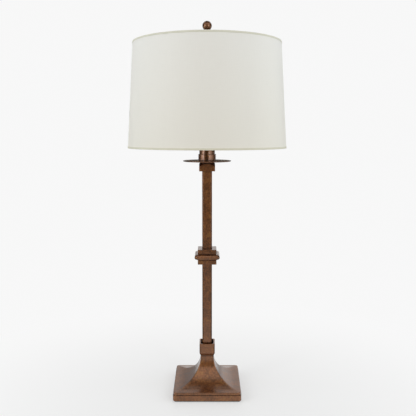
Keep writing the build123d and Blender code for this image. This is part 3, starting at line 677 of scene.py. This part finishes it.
def makeTurnedParts(material):
    low, high = levels("bobeche_seat")
    wide = halfWidth("bobeche_seat")
    narrow = wide - turned["seatSpread"]
    hole = turned["pipe"]
    seat = turnOnLathe("discSeat", [(hole, low), (narrow, low), (wide, high), (hole, high), (hole, low)])
    easeEdges(seat, turned["ease"] / 2)
    finishPiece(seat, "stand", "patina", material, "bobeche_seat")

    low, high = levels("bobeche")
    wide = halfWidth("bobeche")
    rings = evenly(hole, wide, turned["discRings"])
    outline = [(r, low) for r in rings] + [(r, high) for r in reversed(rings)] + [(hole, low)]
    disc = turnOnLathe("disc", outline, turned["discSteps"])
    easeEdges(disc, turned["discRound"], turned["discRoundSteps"])
    handWork(disc, 2 * turned["dentSize"], turned["dentDepth"])
    finishPiece(disc, "stand", "patina", material, "bobeche")

    low, high = levels("socket_cup")
    wide = halfWidth("socket_cup")
    bore = wide - turned["cupWall"]
    floor = low + turned["cupFloor"]
    wall = [(wide, z) for z in evenly(low, high, turned["cupRows"])]
    outline = [(hole, low)] + wall + [(bore, high), (bore, floor), (hole, floor), (hole, low)]
    cup = turnOnLathe("socketCup", outline)
    easeEdges(cup, turned["ease"])
    handWork(cup, turned["dentSize"], turned["dentDepth"])
    finishPiece(cup, "stand", "patina", material, "socket_cup")

    low, high = levels("socket_sleeve")
    wide = halfWidth("socket_sleeve")
    bore = wide - turned["sleeveWall"]
    roof = high - turned["sleeveWall"]
    wall = [(wide, z) for z in evenly(low, high, turned["sleeveRows"])]
    outline = [(bore, low)] + wall + [(hole, high), (hole, roof), (bore, roof), (bore, low)]
    sleeve = turnOnLathe("socketSleeve", outline)
    easeEdges(sleeve, turned["ease"])
    handWork(sleeve, turned["dentSize"], turned["dentDepth"])
    finishPiece(sleeve, "stand", "patina", material, "socket_sleeve")


finial = {"footRadius": 0.0090, "foot": 0.0035, "neckBase": 0.0060, "neckTop": 0.0040, "neck": 0.0287,
          "collarRadius": 0.0080, "collar": 0.0026, "seatRadius": 0.0060, "bore": 0.0032,
          "boreDepth": 0.0100, "ballSteps": 22, "steps": 64, "ease": 0.0004}


def makeFinial(material):
    low, high = levels("finial")
    ball = halfWidth("finial")
    neckZ = low + finial["foot"]
    collarZ = neckZ + finial["neck"]
    seatZ = collarZ + finial["collar"]
    middleZ = high - ball
    startAngle = -math.degrees(math.acos(finial["seatRadius"] / ball))
    boreZ = low + finial["boreDepth"]
    outline = [(0, boreZ), (finial["bore"], boreZ), (finial["bore"], low), (finial["footRadius"], low),
               (finial["footRadius"], neckZ), (finial["neckBase"], neckZ), (finial["neckTop"], collarZ),
               (finial["collarRadius"], collarZ), (finial["collarRadius"], seatZ)]
    outline += arcPoints(0, middleZ, ball, startAngle, 90, finial["ballSteps"])
    piece = turnOnLathe("ballFinial", outline, finial["steps"])
    easeEdges(piece, finial["ease"])
    finishPiece(piece, "finial", "patina", material, "finial")


# Shade

shade = {
    "cloth": 0.0005,
    "lining": 0.0006,
    "steps": 192,
    "rows": 12,
    "tape": 0.0036,
    "tapeThick": 0.0005,
    "tapeInside": 0.0042,    # how far it reaches on the inside
    "tapeInner": 0.00015,    # its thickness there
    "tapeGap": 0.0001,       # between it and the lining
    "tapeSlope": 0.0004,     # eased rim of its outer edge
    "tapeRim": 0.6,          # shares of its thickness: at that rim, and round the fold
    "tapeFold": 0.7,
    "seamWide": 0.009,
    "seamThick": 0.0003,
    "seamInset": 0.0004,     # from the tapes
    "seamGap": 0.00005,      # above the cloth
    "seamSteps": 8,
    "seamOut": 0.9,          # which side the thickness goes, from -1 to 1
    "seamEase": 0.0001,
}


def shadeEdges():
    low, high = levels("shade_panel")
    bottom = halfWidth("shade_panel")
    belowTape = halfWidth("shade_top_trim") - shade["tapeThick"]  # the tape is widest at its lower edge
    slope = (belowTape - bottom) / (high - shade["tape"] - low)
    return low, high, lambda z: bottom + slope * (z - low)


def drumShell(name, outside, inside):
    # closed shell between two depths under the shade's face
    low, high, radiusAt = shadeEdges()
    rise = evenly(low, high, shade["rows"])
    outline = [(radiusAt(z) - outside, z) for z in rise]
    outline += [(radiusAt(z) - inside, z) for z in reversed(rise)]
    return turnOnLathe(name, outline + outline[:1], shade["steps"])


def makeTape(name, node, edgeZ, inwards, material):
    # tape folded over an edge: inwards is +1 at the bottom and -1 at the top
    _, _, radiusAt = shadeEdges()
    thick = shade["tapeThick"]
    thin = shade["tapeInner"]
    backing = shade["cloth"] + shade["lining"]
    outerZ = edgeZ + inwards * shade["tape"]
    rimZ = outerZ - inwards * shade["tapeSlope"]
    innerZ = edgeZ + inwards * shade["tapeInside"]
    foldZ = edgeZ - inwards * thick
    outerRadius, edgeRadius = radiusAt(outerZ), radiusAt(edgeZ)
    edgeInside = edgeRadius - backing - shade["tapeGap"]
    innerRadius = radiusAt(innerZ) - backing - shade["tapeGap"]
    fold = shade["tapeFold"]
    outline = [(outerRadius, outerZ), (outerRadius + shade["tapeRim"] * thick, outerZ),
               (outerRadius + thick, rimZ), (edgeRadius + thick, edgeZ),
               (edgeRadius + fold * thick, edgeZ - inwards * fold * thick), (edgeRadius, foldZ),
               (edgeInside, foldZ), (edgeInside - thin, edgeZ), (innerRadius - thin, innerZ),
               (innerRadius, innerZ), (edgeInside, edgeZ), (edgeRadius, edgeZ), (outerRadius, outerZ)]
    tape = turnOnLathe(name, outline, shade["steps"])
    finishPiece(tape, "shade", "shade_tape", material, node)
    return tape


def makeShade(clothMaterial, liningMaterial, tapeMaterial):
    low, high, radiusAt = shadeEdges()
    lining = drumShell("shadeLining", shade["cloth"], shade["cloth"] + shade["lining"])
    finishPiece(lining, "shade", "shade_cloth", liningMaterial)
    skin = drumShell("shadeCloth", 0, shade["cloth"])
    finishPiece(skin, "shade", "shade_cloth", clothMaterial, "shade_panel")
    tapes = [makeTape("topTape", "shade_top_trim", high, -1, tapeMaterial),
             makeTape("bottomTape", "shade_bottom_trim", low, 1, tapeMaterial)]

    # lap where the cloth's two ends meet, at the back
    sweep = shade["seamWide"] / radiusAt(low)
    inset = shade["tape"] + shade["seamInset"]
    rise = evenly(low + inset, high - inset, shade["rows"])
    line = [(radiusAt(z) + shade["seamGap"], z) for z in rise]
    lap = turnOnLathe("shadeLap", line, shade["seamSteps"], sweep)
    lap.rotation_euler.z = math.radians(90) - sweep / 2
    bpy.ops.object.transform_apply(rotation=True)
    applyModifier(lap, "SOLIDIFY", thickness=shade["seamThick"], offset=shade["seamOut"])
    easeEdges(lap, shade["seamEase"])
    finishPiece(lap, "shade", "shade_cloth", clothMaterial)

    # the cut is a flat arc: the drum's cone rolled out
    slant = math.hypot(high - low, radiusAt(low) - radiusAt(high))
    farEdge = radiusAt(low) * slant / (radiusAt(low) - radiusAt(high))
    angle = math.tau * radiusAt(low) / farEdge


# Bulb

bulb = {
    "neck": 0.0121,
    "neckLength": 0.0060,
    "neckRound": 0.0040,
    "neckRoundSteps": 5,
    "ballSteps": 26,
    "glassSteps": 72,
    "pitch": 0.0036,
    "threadDepth": 0.0009,
    "threadSteps": 8,    # to one ring of the thread
    "shoulder": 0.0040,  # below the thread
    "runOut": 0.0040,    # above it
    "tip": 0.0050,
    "capGap": 0.0002,    # beside the glass
    "capFloor": 0.0005,  # below it
    "capSteps": 64,
    "capEase": 0.0003,
}


def makeBulb(glassMaterial, capMaterial):
    low, high = levels("bulb_globe")
    ball = halfWidth("bulb_globe")
    screwLow, screwHigh = levels("bulb_cap")
    screw = halfWidth("bulb_cap")
    middle = high - ball
    swell = screwHigh + bulb["neckLength"]
    drop = middle - swell
    touch = math.atan2(-drop, bulb["neck"]) + math.acos(ball / math.hypot(bulb["neck"], drop))
    outline = [(0, low), (bulb["neck"], low), (bulb["neck"], swell)]
    outline += arcPoints(0, middle, ball, math.degrees(touch), 90, bulb["ballSteps"])
    glass = turnOnLathe("bulbGlass", outline, bulb["glassSteps"])
    easeEdges(glass, bulb["neckRound"], bulb["neckRoundSteps"])
    finishPiece(glass, "bulb", "bulb_glass", glassMaterial, "bulb_globe")

    threadLow = screwLow + bulb["shoulder"]
    rings = int((screwHigh - threadLow - bulb["runOut"]) / bulb["pitch"])
    outline = [(0, screwLow), (bulb["tip"], screwLow)]
    for i in range(rings * bulb["threadSteps"] + 1):
        ring = i / bulb["threadSteps"]
        depth = bulb["threadDepth"] * (0.5 - 0.5 * math.cos(math.tau * ring))
        outline.append((screw - depth, threadLow + bulb["pitch"] * ring))
    bore = bulb["neck"] + bulb["capGap"]
    floor = low - bulb["capFloor"]
    outline += [(screw, screwHigh), (bore, screwHigh), (bore, floor), (0, floor)]
    cap = turnOnLathe("bulbScrew", outline, bulb["capSteps"])
    easeEdges(cap, bulb["capEase"])
    finishPiece(cap, "bulb", "tin", capMaterial, "bulb_cap")


# Studio

studio = {
    "lens": 47.6,
    "sensor": 36.0,
    "camera": (0.0020, -1.254, 0.608),
    "pitch": 7.87,       # degrees below the level
    "white": 0.935,      # backdrop as the camera sees it
    "ambient": 0.58,     # what the room gives to dull surfaces
    "floorTone": (0.45, 0.446, 0.437),
    "floorGlow": 0.385,
    "floorMiddle": (0, -0.25, 0),
    "floorNear": 0.15,
    "floorFar": 0.85,
    "floorRadius": 8.0,
    "floorSides": 96,
    "floorDrop": 0.0002,  # under the felt
    "aim": (0, 0, 0.45),
    "cool": (0.82, 0.91, 1.0),  # light from the sides
}

# bearing from the camera's side in degrees, distance, height, width, tall, watts, seen in gloss
softBoxes = {
    "leftStrip": (-53, 1.50, 0.75, 0.36, 1.40, 8.0, True),
    "rightStrip": (29, 1.60, 0.75, 0.20, 1.40, 4.6, True),
    "rightSheet": (47, 1.60, 0.75, 0.80, 1.40, 5.0, True),
    "backSheet": (180, 1.60, 0.90, 1.20, 1.40, 8.0, False),
    "leftSide": (-80, 1.60, 0.90, 0.90, 1.40, 7.7, False),
    "rightSide": (80, 1.60, 0.90, 0.90, 1.40, 8.5, False),
}

# cards that only gloss sees: middle, lean and turn about the vertical in degrees, width, tall, tone
flags = {
    "roomFlag": ((-0.28, -2.00, 0.40), 90, 0, 2.10, 0.80, 0.06),
    "floorFlag": ((0.00, -0.95, 0.002), 0, 0, 2.00, 0.91, 0.48),
    "farFlag": ((0.00, -1.75, 0.002), 0, 0, 2.00, 0.70, 0.22),
    "leftFlag": ((-0.90, 0.45, 0.29), 90, 90, 1.10, 0.58, 0.07),
    "rightFlag": ((0.90, 0.45, 0.29), 90, 90, 1.10, 0.58, 0.07),
    "leftBack": ((-0.90, 2.00, 1.10), 90, 90, 2.00, 2.20, 0.40),
    "rightBack": ((0.90, 2.00, 1.10), 90, 90, 2.00, 2.20, 0.90),
    "leftFar": ((-1.20, 2.99, 0.85), 90, 0, 1.60, 0.70, 0.45),
    "rightFar": ((1.20, 2.99, 0.85), 90, 0, 1.60, 0.70, 0.70),
    "backFlag": ((0.00, 3.00, 2.00), 90, 0, 4.00, 1.60, 0.70),
    "leftHigh": ((-0.90, 0.35, 1.15), 90, 90, 1.80, 0.90, 0.12),
    "rightHigh": ((0.90, 0.35, 1.15), 90, 90, 1.80, 0.90, 0.12),
    "topFlag": ((0.00, 0.00, 1.10), 0, 0, 0.40, 0.40, 0.20),
    "finialFlag": ((0.00, -0.30, 0.92), 90, 0, 0.50, 0.10, 0.15),
    "leftGleam": ((-1.24, -0.39, 0.53), 90, -72, 0.52, 0.50, 2.2),
    "rightGleam": ((1.24, -0.38, 0.53), 90, 73, 0.50, 0.50, 1.1),
    "leftFloor": ((-0.55, 0.40, 0.002), 0, 0, 0.80, 2.00, 0.22),
    "rightFloor": ((0.55, 0.40, 0.002), 0, 0, 0.80, 2.00, 0.22),
    "discFlag": ((0.00, 0.30, 0.58), 90, 0, 0.40, 0.16, 0.05),
}


def seenDirectly(tree):
    # 1 for the camera, for gloss and for glass; 0 for light on dull surfaces
    path = addNode(tree, "LightPath")
    seen = doMath(tree, "MAXIMUM", path.outputs["Is Camera Ray"], path.outputs["Is Glossy Ray"])
    return doMath(tree, "MAXIMUM", seen, path.outputs["Is Transmission Ray"])


def makeWorld():
    world = bpy.data.worlds.new("studioWorld")
    bpy.context.scene.world = world
    world.use_nodes = True
    world.cycles.sampling_method = "NONE"  # rays meet it, it isn't sampled as a lamp
    tree = world.node_tree
    background = tree.nodes["Background"]
    white = studio["white"]
    background.inputs["Color"].default_value = (white, white, white, 1)
    strength = doMath(tree, "MULTIPLY_ADD", seenDirectly(tree), 1 - studio["ambient"], studio["ambient"])
    tree.links.new(strength, background.inputs["Strength"])


def makeFloor():
    startFresh()
    bpy.ops.mesh.primitive_circle_add(vertices=studio["floorSides"], radius=studio["floorRadius"],
                                      fill_type="NGON", location=(0, 0, -studio["floorDrop"]))
    floor = bpy.context.object
    floor.name = "studioFloor"
    material, tree, shader = newFinish("paleFloor")
    output = tree.nodes["Material Output"]
    tree.nodes.remove(shader)
    coords = addNode(tree, "TexCoord")
    distance = addNode(tree, "VectorMath", operation="DISTANCE")
    tree.links.new(coords.outputs["Object"], distance.inputs[0])
    distance.inputs[1].default_value = studio["floorMiddle"]
    fade = addNode(tree, "MapRange", {"From Min": studio["floorNear"], "From Max": studio["floorFar"]},
                   interpolation_type="SMOOTHSTEP")
    tree.links.new(distance.outputs["Value"], fade.inputs["Value"])
    seen = seenDirectly(tree)
    glow, white = studio["floorGlow"], studio["white"]
    dull = addNode(tree, "BsdfDiffuse", {"Color": (*studio["floorTone"], 1)})
    near = addNode(tree, "Emission", {"Color": (glow, glow, glow, 1)})
    far = addNode(tree, "Emission", {"Color": (white, white, white, 1)})
    for light in (near, far):
        tree.links.new(seen, light.inputs["Strength"])
    both = addNode(tree, "AddShader")
    tree.links.new(dull.outputs[0], both.inputs[0])
    tree.links.new(near.outputs[0], both.inputs[1])
    mix = addNode(tree, "MixShader")
    tree.links.new(fade.outputs["Result"], mix.inputs[0])
    tree.links.new(both.outputs[0], mix.inputs[1])
    tree.links.new(far.outputs[0], mix.inputs[2])
    tree.links.new(mix.outputs[0], output.inputs["Surface"])
    floor.data.materials.append(material)


def hangSoftBoxes():
    for name, (bearing, distance, height, width, tall, watts, inGloss) in softBoxes.items():
        angle = math.radians(bearing)
        place = Vector((distance * math.sin(angle), -distance * math.cos(angle), height))
        startFresh()
        bpy.ops.object.light_add(type="AREA", location=place)
        light = bpy.context.object
        light.name = name
        light.data.shape = "RECTANGLE"
        light.data.size, light.data.size_y = width, tall
        light.data.energy = watts
        light.data.color = studio["cool"] if name.endswith("Side") else (1, 1, 1)
        light.visible_glossy = inGloss
        light.rotation_euler = (Vector(studio["aim"]) - place).to_track_quat("-Z", "Y").to_euler()


def hangFlags():
    for name, (place, lean, turn, width, tall, tone) in flags.items():
        startFresh()
        bpy.ops.mesh.primitive_plane_add(size=1, location=place,
                                         rotation=(math.radians(lean), 0, math.radians(turn)))
        flag = bpy.context.object
        flag.name = name
        flag.scale = (width, tall, 1)
        material, tree, shader = newFinish(name + "Card")
        card = addNode(tree, "Emission", {"Color": (tone, tone, tone, 1)})
        tree.links.new(card.outputs[0], tree.nodes["Material Output"].inputs["Surface"])
        tree.nodes.remove(shader)
        flag.data.materials.append(material)
        flag.visible_camera = False
        flag.visible_diffuse = False
        flag.visible_transmission = False
        flag.visible_shadow = False


def setCamera():
    startFresh()
    lean = math.radians(90 - studio["pitch"])
    bpy.ops.object.camera_add(location=studio["camera"], rotation=(lean, 0, 0))
    camera = bpy.context.object
    camera.data.lens = studio["lens"]
    camera.data.sensor_width = studio["sensor"]
    bpy.context.scene.camera = camera
    bpy.context.scene.view_settings.view_transform = "Standard"


# The work, in order

setCamera()
makeWorld()
makeFloor()
hangSoftBoxes()
hangFlags()
print("studio ready")

agedBronze = bronzeFinish()
satinBrass = metalFinish("satinBrass")
zincSteel = metalFinish("zincSteel")
castIron = matFinish("castIron")
blackFelt = matFinish("blackFelt")
blackMoulding = matFinish("blackMoulding")
pressedBoard = matFinish("pressedBoard")
tinPlate = metalFinish("tinPlate")
frostedGlass = glassFinish()
shadeLinen = clothFinish("shadeLinen")
shadeBacking = matFinish("shadeBacking")
edgeTape = clothFinish("edgeTape")
print("finishes ready")

makeBase(agedBronze)
makeFelt(blackFelt)
makeCollar(agedBronze)
makeColumn("lowerColumn", "lower_column", agedBronze)
makeColumn("upperColumn", "upper_column", agedBronze)
makeTier("knopLowerTier", "knop_lower_tier", agedBronze)
makeTier("knopUpperTier", "knop_upper_tier", agedBronze)
makeBand(agedBronze)
makeBlock(agedBronze)
makeTurnedParts(agedBronze)
makeFinial(agedBronze)
print("stand ready")

makeShade(shadeLinen, shadeBacking, edgeTape)
makeBulb(frostedGlass, tinPlate)
print("shade and bulb ready")

dressNodes(castIron, "base_weight")
dressNodes(zincSteel, "base_screws", "base_washer", "base_locknut", "lamp_pipe")
dressNodes(satinBrass, "saddle_nut", "harp_saddle", "harp", "harp_stud", "harp_sleeve_left",
           "harp_sleeve_right", "socket_cap", "socket_shell", "socket_screw_shell", "socket_contact",
           "switch_shaft", "shade_top_frame", "shade_hub", "shade_bottom_ring")
dressNodes(blackMoulding, "cord_bushing", "socket_body", "switch_key")
dressNodes(pressedBoard, "socket_liner")
dressNodes(tinPlate, "bulb_tip")
print("solids dressed")
